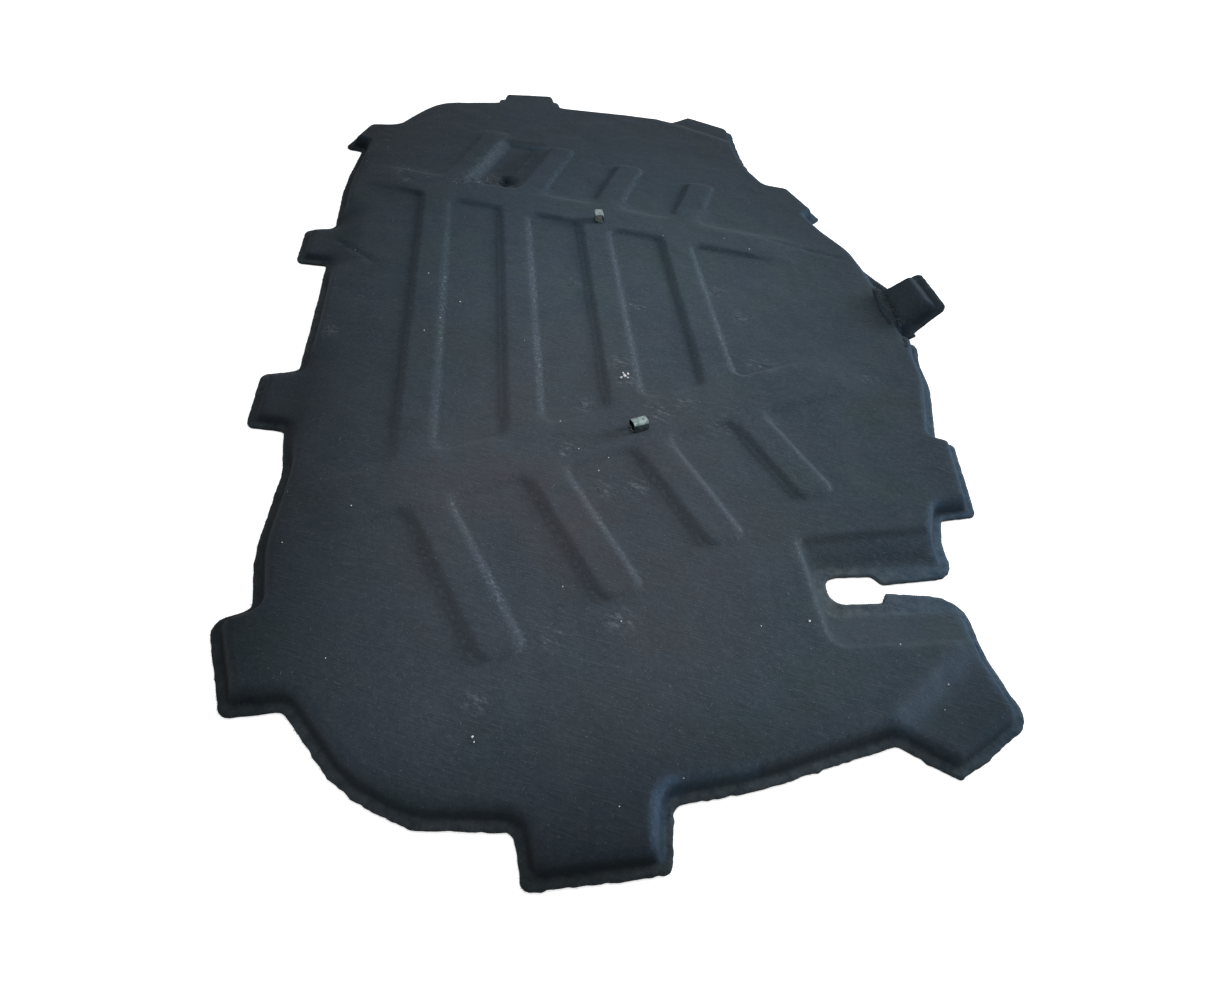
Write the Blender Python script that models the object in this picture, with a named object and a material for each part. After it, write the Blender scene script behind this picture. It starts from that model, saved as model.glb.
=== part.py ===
"""Moulded felt pad for the underside of a bonnet, with two small sprung loops on its cross ridges.

Metres, Z up. X runs across the width and Y from front to rear. The pad lies on its flat back, at z = 0.
"""
import math

import bmesh
import bpy
from mathutils import Matrix, Vector

MM = 0.001

# Heights over the flat back
RIM_T = 3.0 * MM
FACE_Z = 18.0 * MM
RIDGE_H = 4.5 * MM
RIDGE_Z = FACE_Z + RIDGE_H
CORNER_Z = 12.5 * MM
REAR_TAB_Z = 10.0 * MM
FOOT_Z = 1.2 * MM

# Main sizes: how far the tabs reach from the middle of the pad
LEFT_X = -652.0 * MM
RIGHT_X = 668.0 * MM
REAR_Y = 421.0 * MM
FRONT_Y = -353.0 * MM

# Pressed rim and the wall that rises from it
RIM_W = 7.5 * MM
RIM_ROUND = 0.8 * MM
WALL_W = 4.0 * MM
CREST_W = 5.5 * MM

# Ridges: four run across, and on each side a slanted bar carries four more that fan towards the front
RIDGE_W = 43.0 * MM
RIDGE_WALL = 4.5 * MM
RIDGE_CREST = 3.0 * MM
RIDGE_PITCH = 104.3 * MM
RIDGE_FIRST_Y = -55.2 * MM
RIDGE_COUNT = 4
BAR_W = 65.0 * MM
BAR_SLANT = math.radians(19.8)
BAR_X = 203.0 * MM
BAR_REAR_Y = 350.0 * MM
BAR_FRONT_Y = -216.0 * MM
FAN_SLANT = math.radians(21.0)
FAN_LENGTH = 154.0 * MM
FAN_STEP = 18.5 * MM
LEFT_FAN_DROP = 6.5 * MM
RIGHT_FAN_DROP = 11.5 * MM
RIDGE_ROUND = 9.0 * MM
FAN_ROUND = 13.0 * MM
BAR_END_FADE = 8.0

# Keyhole slot, open at the front edge, and the dished place round it
SLOT_X = -421.8 * MM
SLOT_W = 31.0 * MM
SLOT_FAR_Y = -100.0 * MM
SLOT_MOUTH_Y = -149.0 * MM
SLOT_NECK_W = 11.0 * MM
DISH_REAR_Y = -80.0 * MM
DISH_WALL = 11.0 * MM
DISH_LEFT_X = -491.0 * MM
DISH_RIGHT_X = -368.0 * MM
DISH_SLOPE_LEFT = 43.0 * MM
DISH_SLOPE_RIGHT = 31.0 * MM
DISH_STEP_Z = 14.5 * MM

# Pressed pocket between the two rear fan ridges of the right side, and the torn hole in it
POCKET_DEPTH = 3.5 * MM
POCKET_NEAR = 52.0 * MM
POCKET_FAR = 180.0 * MM
HOLE_DEPTH = 9.0 * MM
HOLE_R = 16.0 * MM
HOLE_ALONG = -82.0 * MM
HOLE_ACROSS = 58.0 * MM

# Slope down to the lower top of each front corner tab
CORNER_X = 599.0 * MM
CORNER_Y = -150.0 * MM
STEP_TURN = math.radians(38.0)
STEP_LOW = 45.0 * MM
STEP_HIGH = 66.0 * MM
STEP_SPAN = 300.0 * MM
STEP_REACH = 60.0 * MM

# Slope down to the lower top of each rear tab
REAR_TAB_X = 155.0 * MM
REAR_STEP_W = 124.0 * MM
REAR_STEP_LOW = 52.0 * MM
REAR_STEP_HIGH = 74.0 * MM

# Torn front tab, bent up in two folds along its cracked root
HINGE_Y = -293.0 * MM
HINGE_GAP = 12.0 * MM
HINGE_DEPTH = 2.0 * MM
FOLD = math.radians(21.0)
TEAR_X = -50.0 * MM
TEAR_W = 9.0 * MM
LIFT_FULL_X = 54.0 * MM
LIFT_END_X = 112.0 * MM
CRACK_DEPTH = 3.2 * MM
CRACK_W = 2.2 * MM

# Sprung loops
CLIP_Y = 42.0 * MM
LEFT_CLIP_X = -228.0 * MM
RIGHT_CLIP_X = 200.0 * MM
CLIP_LENGTH = 16.0 * MM
CLIP_DEPTH = 12.0 * MM
CLIP_HEIGHT = 11.0 * MM
CLIP_T = 1.2 * MM
CLIP_LIP_Z = 1.7 * MM
CLIP_ROUND = 3.4 * MM
CLIP_GAP = 0.3 * MM

ARC_STEP = math.radians(22.0)


def collection(name):
    made = bpy.data.collections.new(name)
    bpy.context.scene.collection.children.link(made)
    return made


def material(name, colour, roughness, metallic):
    mat = bpy.data.materials.new(name)
    mat.use_nodes = True
    shader = mat.node_tree.nodes["Principled BSDF"]
    shader.inputs["Base Color"].default_value = (*colour, 1.0)
    shader.inputs["Roughness"].default_value = roughness
    shader.inputs["Metallic"].default_value = metallic
    return mat


def moulded_felt():
    return material("moulded_felt", (0.046, 0.058, 0.066), 0.95, 0.0)


def plated_spring_steel():
    return material("plated_spring_steel", (0.62, 0.66, 0.66), 0.34, 1.0)


def object_from(bm, name, where):
    bmesh.ops.recalc_face_normals(bm, faces=bm.faces)
    mesh = bpy.data.meshes.new(name)
    bm.to_mesh(mesh)
    bm.free()
    obj = bpy.data.objects.new(name, mesh)
    where.objects.link(obj)
    return obj


def measured(x, y, *corners):
    """Corners given in millimetres from a place, as two distances and a radius. All have the speed 1."""
    return [(x + across * MM, y + along * MM, radius * MM, 1.0) for across, along, radius in corners]


def rounded(corners, inset):
    """The outline moved in by the inset, with its corners rounded. It runs anticlockwise.

    A corner is x, y, radius and the speed at which the side after it moves in.
    """
    count = len(corners)
    sides = []
    for i in range(count):
        start = Vector(corners[i][:2])
        along = (Vector(corners[(i + 1) % count][:2]) - start).normalized()
        normal = Vector((-along.y, along.x))
        sides.append((along, normal, normal.dot(start) + inset * corners[i][3]))
    moved = []
    for i in range(count):
        before, after = sides[i - 1], sides[i]
        turn = before[0].x * after[0].y - before[0].y * after[0].x
        x = (before[2] * after[1].y - after[2] * before[1].y) / turn
        y = (before[1].x * after[2] - after[1].x * before[2]) / turn
        moved.append(Vector((x, y)))
    points = []
    for i in range(count):
        into, out = sides[i - 1][0], sides[i][0]
        turn = math.atan2(into.x * out.y - into.y * out.x, into.dot(out))
        here = moved[i]
        room = min((moved[i - 1] - here).length, (moved[(i + 1) % count] - here).length) * 0.46
        shift = inset if turn > 0 else -inset
        radius = max(corners[i][2] - shift, corners[i][2] * 0.25, 0.8 * MM)
        cut = min(radius * math.tan(abs(turn) / 2), room)
        steps = max(1, math.ceil(abs(turn) / ARC_STEP))
        start, end = here - into * cut, here + out * cut
        radius = cut / math.tan(abs(turn) / 2)
        side = 1.0 if turn > 0 else -1.0
        centre = start + Vector((-into.y, into.x)) * radius * side
        arm = start - centre
        for k in range(steps + 1):
            swing = turn * k / steps
            c, s = math.cos(swing), math.sin(swing)
            points.append(centre + Vector((arm.x * c - arm.y * s, arm.x * s + arm.y * c)))
        points[-1] = end
    return points


def skinned(name, rings, where):
    """A solid skinned over rings of points, given from the lowest to the highest as (points, z)."""
    bm = bmesh.new()
    loops = [[bm.verts.new((p.x, p.y, z)) for p in points] for points, z in rings]
    bm.faces.new(loops[0][::-1])
    bm.faces.new(loops[-1])
    for low, high in zip(loops, loops[1:]):
        for i in range(len(low)):
            j = (i + 1) % len(low)
            bm.faces.new((low[i], low[j], high[j], high[i]))
    return object_from(bm, name, where)


def stepped(name, corners, steps, where):
    """A solid with one outline and a stepped section, given as (inset, z) pairs from the lowest up."""
    return skinned(name, [(rounded(corners, inset), z) for inset, z in steps], where)


def plate(name, points, low, high, edge_round, where):
    """A flat plate cut from an outline, with softened edges."""
    curve = bpy.data.curves.new(name, "CURVE")
    curve.dimensions = "2D"
    curve.fill_mode = "BOTH"
    spline = curve.splines.new("POLY")
    spline.points.add(len(points) - 1)
    for point, place in zip(spline.points, points):
        point.co = (place.x, place.y, 0.0, 1.0)
    spline.use_cyclic_u = True
    curve.extrude = (high - low) / 2 - edge_round
    curve.bevel_depth = edge_round
    curve.offset = -edge_round
    curve.bevel_resolution = 0
    drawn = bpy.data.objects.new(name, curve)
    where.objects.link(drawn)
    drawn.location.z = (high + low) / 2
    bpy.context.view_layer.update()
    evaluated = drawn.evaluated_get(bpy.context.evaluated_depsgraph_get())
    mesh = bpy.data.meshes.new_from_object(evaluated)
    mesh.transform(drawn.matrix_world)
    bm = bmesh.new()
    bm.from_mesh(mesh)
    bmesh.ops.remove_doubles(bm, verts=bm.verts, dist=0.00001)
    bpy.data.objects.remove(drawn)
    return object_from(bm, name, where)


def combine(target, tool, operation):
    step = target.modifiers.new(operation.lower(), "BOOLEAN")
    step.operation = operation
    step.solver = "EXACT"
    step.object = tool
    bpy.context.view_layer.update()
    evaluated = target.evaluated_get(bpy.context.evaluated_depsgraph_get())
    result = bpy.data.meshes.new_from_object(evaluated)
    target.modifiers.clear()
    old = target.data
    target.data = result
    bpy.data.meshes.remove(old)


def tidy(obj):
    bm = bmesh.new()
    bm.from_mesh(obj.data)
    bmesh.ops.remove_doubles(bm, verts=bm.verts, dist=0.00002)
    bmesh.ops.dissolve_degenerate(bm, edges=bm.edges, dist=0.00002)
    bm.to_mesh(obj.data)
    bm.free()


def left_rear():
    """The rear tab, the bowed edge and the corner tab of the left half."""
    return measured(
        0.0, REAR_Y,
        (-108, -37, 6), (-114, 0, 9), (-196, 0, 9), (-203, -37, 7), (-262, -45, 60), (-363, -39, 90),
        (-420, -48, 7), (-432, -18, 14), (-516, -43, 8), (-513, -86, 9))


def left_side():
    """The rounded rear corner, the side tab and the straight edge in front of it."""
    return measured(
        LEFT_X, 0.0,
        (76, 290, 60), (46, 243, 60), (39, 173, 8), (0, 167, 8), (4, 70, 9), (50, 63, 10), (56, 3, 150),
        (84, -112, 9))


def left_corner():
    return measured(-CORNER_X, CORNER_Y, (0, 0, 8), (42, -73, 20), (106, -63, 60))


def slot_mouth():
    """The lobes on both sides of the mouth, the narrow neck and the slot behind it."""
    left, right = SLOT_X - SLOT_W / 2, SLOT_X + SLOT_W / 2
    neck_left, neck_right = SLOT_X - SLOT_NECK_W / 2, SLOT_X + SLOT_NECK_W / 2
    return (
        measured(neck_left, SLOT_MOUTH_Y, (-7, -68, 34), (0, -3, 3))
        + measured(left, SLOT_MOUTH_Y, (0, 4, 5))
        + [(left, SLOT_FAR_Y, 13 * MM, 1.0), (right, SLOT_FAR_Y, 13 * MM, 1.0)]
        + measured(right, SLOT_MOUTH_Y, (0, 4, 5))
        + measured(neck_right, SLOT_MOUTH_Y, (0, -3, 3), (5, -72, 24), (42, -75, 30)))


def closed_mouth():
    """The same stretch for the thick part of the pad, which ends behind the lobes."""
    return measured(SLOT_X, SLOT_MOUTH_Y, (-45, -67, 30), (44, -72, 30))


def left_front():
    """The small front tab and the bowed edge up to the torn tab."""
    return measured(
        0.0, FRONT_Y,
        (-342, 117, 5), (-338, 80, 8), (-237, 61, 7), (-229, 78, 6), (-140, 50, 60))


def torn_tab():
    return measured(
        0.0, FRONT_Y,
        (-96, 46, 40), (-66, 37, 3), (-58, 38, 2), (-50, 45, 2), (-44, 45, 3), (-37, 0, 8), (45, 2, 8),
        (49, 44, 6), (100, 45, 60))


def right_front():
    """The right half's front edge. It has pulled out of shape a little."""
    return measured(
        0.0, FRONT_Y,
        (146, 50, 60), (204, 75, 30), (240, 85, 6), (256, 67, 7), (334, 91, 8), (346, 123, 6), (385, 135, 30),
        (440, 141, 60), (495, 140, 60))


def right_corner():
    return measured(CORNER_X, CORNER_Y, (-42, -67, 20), (9, 3, 8))


def right_side():
    return measured(
        RIGHT_X, 0.0,
        (-86, -112, 9), (-65, 3, 150), (-54, 63, 10), (-5, 70, 9), (0, 167, 8), (-39, 173, 8), (-48, 278, 75))


def right_rear():
    return measured(
        0.0, REAR_Y,
        (524, -87, 9), (521, -45, 8), (450, -20, 10), (441, -46, 8), (360, -37, 90), (295, -33.5, 100),
        (199, -36, 7), (192, 0, 9), (114, 0, 9), (108, -37, 6))


def pad_outline(slot):
    """The whole edge, anticlockwise from the middle of the rear."""
    mouth = slot_mouth() if slot else closed_mouth()
    left = left_rear() + left_side() + left_corner() + mouth + left_front()
    right = right_front() + right_corner() + right_side() + right_rear()
    return left + torn_tab() + right


def ridge_y(j):
    return RIDGE_FIRST_Y + j * RIDGE_PITCH


def bar_point(side, y, along, across):
    """A place measured from the middle line of the slanted bar: along it, and out along a fan ridge."""
    node = Vector((side * (BAR_X + math.tan(BAR_SLANT) * y), y))
    bar = Vector((side * math.sin(BAR_SLANT), math.cos(BAR_SLANT)))
    fan = Vector((side * math.cos(FAN_SLANT), -math.sin(FAN_SLANT)))
    return node + bar * along + fan * across


def fan_drop(side):
    """How far towards the front the fan ridges stand from the ridges that run across."""
    return LEFT_FAN_DROP if side < 0 else RIGHT_FAN_DROP


def bar_inner_x(y):
    return BAR_X + math.tan(BAR_SLANT) * y - BAR_W / 2 / math.cos(BAR_SLANT)


def ridge_side(side):
    """The edge of the ridges on one side, from the rear to the front: the bar, with its fan of ridges."""
    half = RIDGE_W / 2
    high, low = half - fan_drop(side), -half - fan_drop(side)
    rear_end = (BAR_REAR_Y - ridge_y(RIDGE_COUNT - 1)) / math.cos(BAR_SLANT)
    front_end = (BAR_FRONT_Y - ridge_y(0)) / math.cos(BAR_SLANT)
    top_y, low_y = ridge_y(RIDGE_COUNT - 1), ridge_y(0)
    rear_y, front_y = top_y + half, low_y - half
    corners = [(Vector((side * bar_inner_x(rear_y), rear_y)), RIDGE_ROUND, 1.0)]
    corners.append((bar_point(side, top_y, rear_end, -BAR_W / 2), RIDGE_ROUND, BAR_END_FADE))
    corners.append((bar_point(side, top_y, rear_end, BAR_W / 2), RIDGE_ROUND, 1.0))
    for j in reversed(range(RIDGE_COUNT)):
        y = ridge_y(j)
        reach = FAN_LENGTH + FAN_STEP * j
        corners.append((bar_point(side, y, high, BAR_W / 2), RIDGE_ROUND, 1.0))
        corners.append((bar_point(side, y, high, reach), FAN_ROUND, 1.0))
        corners.append((bar_point(side, y, low, reach), FAN_ROUND, 1.0))
        corners.append((bar_point(side, y, low, BAR_W / 2), RIDGE_ROUND, 1.0))
    corners.append((bar_point(side, low_y, front_end, BAR_W / 2), RIDGE_ROUND, BAR_END_FADE))
    corners.append((bar_point(side, low_y, front_end, -BAR_W / 2), RIDGE_ROUND, 1.0))
    corners.append((Vector((side * bar_inner_x(front_y), front_y)), RIDGE_ROUND, 1.0))
    return [(p.x, p.y, r, k) for p, r, k in corners]


def ridge_outline():
    right = ridge_side(1)[::-1]
    speeds = [c[3] for c in right]
    turned = [(c[0], c[1], c[2], speeds[(i + 1) % len(right)]) for i, c in enumerate(right)]
    turned[-1] = turned[-1][:3] + (1.0,)
    return ridge_side(-1) + turned


def panel_outline(j):
    """The sunk panel between two of the ridges that run across."""
    low, high = ridge_y(j) + RIDGE_W / 2, ridge_y(j + 1) - RIDGE_W / 2
    return [
        (-bar_inner_x(low), low, RIDGE_ROUND, 1.0), (bar_inner_x(low), low, RIDGE_ROUND, 1.0),
        (bar_inner_x(high), high, RIDGE_ROUND, 1.0), (-bar_inner_x(high), high, RIDGE_ROUND, 1.0)]


def ridges(cutters):
    """All the ridges as one solid, with drafted walls and rounded crests."""
    solid = stepped("ridges", ridge_outline(), [
        (-0.3 * MM, FACE_Z - RIDGE_H * 0.5),
        (0.0, FACE_Z + 0.2 * MM),
        (RIDGE_WALL, RIDGE_Z - 0.9 * MM),
        (RIDGE_WALL + RIDGE_CREST, RIDGE_Z)], cutters)
    for j in range(RIDGE_COUNT - 1):
        panel = stepped(f"panel_{j}", panel_outline(j), [
            (RIDGE_WALL * 0.8, FACE_Z - RIDGE_H),
            (0.0, FACE_Z + 0.2 * MM),
            (-RIDGE_WALL, RIDGE_Z - 0.9 * MM),
            (-RIDGE_WALL - RIDGE_CREST, RIDGE_Z),
            (-RIDGE_WALL - RIDGE_CREST * 1.4, RIDGE_Z + 1.0 * MM)], cutters)
        combine(solid, panel, "DIFFERENCE")
    return solid


def slot_dish(cutters):
    """The cutter for the dished place round the slot: steep at its rear end, gentle on both long sides."""
    foot = (DISH_LEFT_X + DISH_SLOPE_LEFT, DISH_RIGHT_X - DISH_SLOPE_RIGHT, DISH_REAR_Y - DISH_WALL)
    step = (DISH_LEFT_X + 5 * MM, DISH_RIGHT_X - 4 * MM, DISH_REAR_Y - 3 * MM)
    top = (DISH_LEFT_X, DISH_RIGHT_X, DISH_REAR_Y)

    def ring(place, radius):
        left, right, rear = place
        return rounded([
            (left, FRONT_Y, 2 * MM, 1.0), (right, FRONT_Y, 2 * MM, 1.0),
            (right, rear, radius, 1.0), (left, rear, radius, 1.0)], 0.0)

    below = (foot[0] + 2 * MM, foot[1] - 2 * MM, foot[2] - 1 * MM)
    above = (top[0] - 1.5 * MM, top[1] + 1.5 * MM, top[2] + 1.5 * MM)
    return skinned("slot_dish", [
        (ring(below, 8 * MM), FOOT_Z - 1 * MM),
        (ring(foot, 9 * MM), RIM_T + 0.3 * MM),
        (ring(step, 13 * MM), DISH_STEP_Z),
        (ring(top, 15 * MM), FACE_Z - 0.4 * MM),
        (ring(above, 16 * MM), FACE_Z + 1 * MM)], cutters)


def corner_step(side, cutters):
    """The cutter that drops the face down a slope to the lower top of the front corner tab."""
    out = Vector((side * math.cos(STEP_TURN), -math.sin(STEP_TURN)))
    along = Vector((-out.y, out.x)) * STEP_SPAN / 2
    tip = Vector((side * CORNER_X, CORNER_Y))
    end = tip + out * STEP_REACH

    def ring(back):
        start = tip - out * back
        return [start - along, end - along, end + along, start + along]

    rise = (STEP_HIGH - STEP_LOW) / 4
    return skinned("corner_step", [
        (ring(STEP_LOW), CORNER_Z), (ring(STEP_HIGH - rise), FACE_Z - 0.6 * MM),
        (ring(STEP_HIGH + rise), FACE_Z + 0.3 * MM)], cutters)


def rear_tab_step(side, cutters):
    """The cutter that drops the face down a slope to the lower top of a rear tab."""
    left, right = side * REAR_TAB_X - REAR_STEP_W / 2, side * REAR_TAB_X + REAR_STEP_W / 2
    rear = REAR_Y + 10 * MM

    def ring(back, wider):
        front = REAR_Y - back
        return [
            Vector((left - wider, front)), Vector((right + wider, front)),
            Vector((right, rear)), Vector((left, rear))]

    return skinned("rear_tab_step", [
        (ring(REAR_STEP_LOW, 0.0), REAR_TAB_Z), (ring(REAR_STEP_HIGH, 14 * MM), FACE_Z),
        (ring(REAR_STEP_HIGH + 3 * MM, 16 * MM), FACE_Z + 1 * MM)], cutters)


def pocket(cutters):
    """The cutter for the pressed pocket between the two rear fan ridges of the right side."""
    y = ridge_y(RIDGE_COUNT - 1)
    drop = fan_drop(1)
    first = -drop - RIDGE_W / 2
    last = first - RIDGE_PITCH * math.cos(BAR_SLANT) + RIDGE_W

    def ring(first_in, last_in, near_in, far_in):
        places = [
            (first + first_in, POCKET_NEAR + near_in), (last + last_in, POCKET_NEAR + near_in),
            (last + last_in, POCKET_FAR - far_in), (first + first_in, POCKET_FAR - far_in)]
        return [bar_point(1, y, along, across) for along, across in places]

    return skinned("pocket", [
        (ring(-12 * MM, 4 * MM, 30 * MM, 4 * MM), FACE_Z - POCKET_DEPTH),
        (ring(-1 * MM, 0.0, 4 * MM, 0.5 * MM), FACE_Z),
        (ring(6 * MM, -3 * MM, 0.0, -0.5 * MM), RIDGE_Z - 1 * MM),
        (ring(10 * MM, -4 * MM, -2 * MM, -1 * MM), RIDGE_Z + 0.5 * MM)], cutters)


def torn_hole(cutters):
    """The ragged hole that a pulled fastener left in the pocket."""
    middle = bar_point(1, ridge_y(RIDGE_COUNT - 1), HOLE_ALONG, HOLE_ACROSS)
    lobes = 11

    def ring(size):
        points = []
        for k in range(lobes):
            turn = math.tau * k / lobes
            reach = HOLE_R * size * (1.0 + 0.16 * math.sin(3 * turn + 0.6) + 0.10 * math.sin(5 * turn))
            points.append(middle + Vector((1.15 * reach * math.cos(turn), reach * math.sin(turn))))
        return points

    return skinned("torn_hole", [
        (ring(0.45), FACE_Z - HOLE_DEPTH), (ring(0.85), FACE_Z - POCKET_DEPTH - 1.5 * MM),
        (ring(1.1), FACE_Z + 1 * MM), (ring(1.2), RIDGE_Z + 1 * MM)], cutters)


def crack(name, y, cutters):
    """A wedge for one of the two cracks across the root of the torn tab."""
    half = CRACK_W / 2
    left, right = TEAR_X + 2 * MM, LIFT_FULL_X - 6 * MM
    third = (right - left) / 3
    bow = 0.8 * MM

    def ring(wide, reach):
        upper = [
            Vector((left - reach, y)), Vector((left + third, y - bow - wide)),
            Vector((right - third, y + bow - wide)), Vector((right + reach, y))]
        lower = [Vector((right - third, y + bow + wide)), Vector((left + third, y - bow + wide))]
        return upper + lower

    return skinned(name, [
        (ring(0.25 * half, -6 * MM), FACE_Z - CRACK_DEPTH),
        (ring(half, 0.0), FACE_Z + 0.2 * MM),
        (ring(half * 1.2, 1 * MM), FACE_Z + 1 * MM)], cutters)


def tear(cutters):
    """The wedge torn out beside the root of the tab, right through the pad."""
    mouth = FRONT_Y + 20 * MM
    start = HINGE_Y - 1 * MM
    points = [
        Vector((TEAR_X, start)), Vector((TEAR_X - 1 * MM, start)),
        Vector((TEAR_X - TEAR_W * 0.4, start - 9 * MM)),
        Vector((TEAR_X - TEAR_W, mouth)), Vector((TEAR_X, mouth))]
    return skinned("tear", [(points, -1 * MM), (points, FACE_Z + 5 * MM)], cutters)


def cut_across(bm, place, normal):
    """Gives the front strip of the pad a row of points where a plane crosses it."""
    strip = []
    for face in bm.faces:
        xs = [v.co.x for v in face.verts]
        in_front = min(v.co.y for v in face.verts) < HINGE_Y
        if in_front and max(xs) > TEAR_X and min(xs) < LIFT_END_X:
            strip.append(face)
    parts = set(strip)
    for face in strip:
        parts.update(face.verts)
        parts.update(face.edges)
    bmesh.ops.bisect_plane(bm, geom=list(parts), dist=0.000001, plane_co=place, plane_no=normal)


def fold(points, y, hinge, angle):
    """Turns all that lies in front of a line up about it, less and less beyond the tab's right root.

    The points are pairs: a corner of the mesh and the place where it lay before any fold.
    """
    for vert, flat in points:
        if flat.y < y - 0.00001 and flat.x > TEAR_X - 0.0001:
            share = (LIFT_END_X - flat.x) / (LIFT_END_X - LIFT_FULL_X)
            share = min(max(share, 0.0), 1.0)
            turn = Matrix.Rotation(-angle * share, 3, "X")
            vert.co = turn @ (vert.co - hinge) + hinge


def bend_tab(pad):
    """Bends the torn tab up, half of it at each crack."""
    bm = bmesh.new()
    bm.from_mesh(pad.data)
    second_y = HINGE_Y - HINGE_GAP
    cut_across(bm, (0.0, HINGE_Y, 0.0), (0.0, 1.0, 0.0))
    cut_across(bm, (0.0, second_y, 0.0), (0.0, 1.0, 0.0))
    for k in range(4):
        x = LIFT_FULL_X + (LIFT_END_X - LIFT_FULL_X) * k / 3
        cut_across(bm, (x, 0.0, 0.0), (1.0, 0.0, 0.0))
    near = [f for f in bm.faces if len(f.verts) > 3 and min(v.co.y for v in f.verts) < HINGE_Y + 0.00001]
    bmesh.ops.triangulate(bm, faces=near)
    flat = [(v, v.co.copy()) for v in bm.verts]
    hinge_z = FACE_Z - HINGE_DEPTH
    first = Vector((0.0, HINGE_Y, hinge_z))
    second = Vector((0.0, second_y, hinge_z))
    fold(flat, second_y, second, FOLD)
    fold(flat, HINGE_Y, first, FOLD)
    bmesh.ops.triangulate(bm, faces=[f for f in bm.faces if len(f.verts) > 4])
    bm.to_mesh(pad.data)
    bm.free()


def insulation_pad(where, cutters, felt):
    pad = plate("insulation_pad", rounded(pad_outline(True), 0.0), 0.0, RIM_T, RIM_ROUND, where)
    foot = RIM_W
    body = stepped("body", pad_outline(False), [
        (foot, FOOT_Z),
        (foot + WALL_W * 0.25, RIM_T + 1.0 * MM),
        (foot + WALL_W, FACE_Z - 4.5 * MM),
        (foot + WALL_W + CREST_W * 0.35, FACE_Z - 1.5 * MM),
        (foot + WALL_W + CREST_W, FACE_Z)], cutters)
    combine(body, slot_dish(cutters), "DIFFERENCE")
    for side in (-1, 1):
        combine(body, corner_step(side, cutters), "DIFFERENCE")
        combine(body, rear_tab_step(side, cutters), "DIFFERENCE")
    combine(body, ridges(cutters), "UNION")
    combine(body, pocket(cutters), "DIFFERENCE")
    combine(body, torn_hole(cutters), "DIFFERENCE")
    combine(pad, body, "UNION")
    tidy(pad)
    combine(pad, crack("rear_crack", HINGE_Y + 0.6 * MM, cutters), "DIFFERENCE")
    combine(pad, crack("front_crack", HINGE_Y - HINGE_GAP + 0.6 * MM, cutters), "DIFFERENCE")
    combine(pad, tear(cutters), "DIFFERENCE")
    tidy(pad)
    bend_tab(pad)
    tidy(pad)
    pad.data.materials.clear()
    pad.data.materials.append(felt)
    return pad


def clip_section():
    """The bent strip from its open end: a foot and two legs joined over the top, the right leg turned in."""
    t, r, top = CLIP_T, CLIP_ROUND, CLIP_HEIGHT
    half = CLIP_DEPTH / 2
    foot_end = half * 0.35
    edge = 0.3 * MM
    return [
        (-half, 0.0, r * 0.5, 1.0), (foot_end, 0.0, edge, 1.0), (foot_end, t, edge, 1.0),
        (-half + t, t, r * 0.5, 1.0), (-half + t, top - t, r - t, 1.0), (half - t, top - t, r - t, 1.0),
        (half - t, CLIP_LIP_Z + t, r * 0.6, 1.0), (0.5 * MM, CLIP_LIP_Z + t + 0.7 * MM, edge, 1.0),
        (0.4 * MM, CLIP_LIP_Z + 0.6 * MM, edge, 1.0), (half, CLIP_LIP_Z - 0.1 * MM, r * 0.6, 1.0),
        (half, top, r, 1.0), (-half, top, r, 1.0)]


def sprung_loop(name, x, where, steel):
    """One loop. Its section is drawn flat, given its length, and stood up on the cross ridge."""
    loop = plate(name, rounded(clip_section(), 0.0), -CLIP_LENGTH / 2, CLIP_LENGTH / 2, 0.15 * MM, where)
    stand = Matrix.Rotation(math.radians(90), 4, "X")
    place = Matrix.Translation((x, CLIP_Y, RIDGE_Z + CLIP_GAP))
    loop.data.transform(place @ stand)
    bm = bmesh.new()
    bm.from_mesh(loop.data)
    bmesh.ops.recalc_face_normals(bm, faces=bm.faces)
    bm.to_mesh(loop.data)
    bm.free()
    loop.data.materials.clear()
    loop.data.materials.append(steel)
    return loop


def main():
    for obj in list(bpy.data.objects):
        bpy.data.objects.remove(obj, do_unlink=True)
    parts = collection("hood_insulation_pad")
    cutters = collection("cutters")
    insulation_pad(parts, cutters, moulded_felt())
    steel = plated_spring_steel()
    sprung_loop("left_clip", LEFT_CLIP_X, parts, steel)
    sprung_loop("right_clip", RIGHT_CLIP_X, parts, steel)
    for tool in cutters.objects:
        tool.hide_render = True
        tool.display_type = "WIRE"


main()
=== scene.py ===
"""The look of the moulded felt pad: a dense skin on its CAD shape, sprung loops, floor, light and camera."""
import math

import bmesh
import bpy
import numpy as np
from mathutils import Matrix, Vector
from mathutils.geometry import delaunay_2d_cdt


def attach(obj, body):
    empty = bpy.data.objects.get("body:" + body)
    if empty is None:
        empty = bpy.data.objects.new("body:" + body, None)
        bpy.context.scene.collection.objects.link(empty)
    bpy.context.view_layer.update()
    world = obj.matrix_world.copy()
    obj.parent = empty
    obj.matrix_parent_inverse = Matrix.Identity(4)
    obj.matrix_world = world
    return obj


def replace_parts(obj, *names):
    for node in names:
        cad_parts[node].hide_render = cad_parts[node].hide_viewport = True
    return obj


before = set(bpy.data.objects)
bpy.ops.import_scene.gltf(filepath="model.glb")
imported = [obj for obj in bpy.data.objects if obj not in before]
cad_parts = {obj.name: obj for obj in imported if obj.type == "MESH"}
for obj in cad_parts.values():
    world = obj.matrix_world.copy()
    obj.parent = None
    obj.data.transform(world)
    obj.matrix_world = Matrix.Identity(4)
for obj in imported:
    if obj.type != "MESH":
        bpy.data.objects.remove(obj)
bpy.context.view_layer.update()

MM = 0.001
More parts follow.
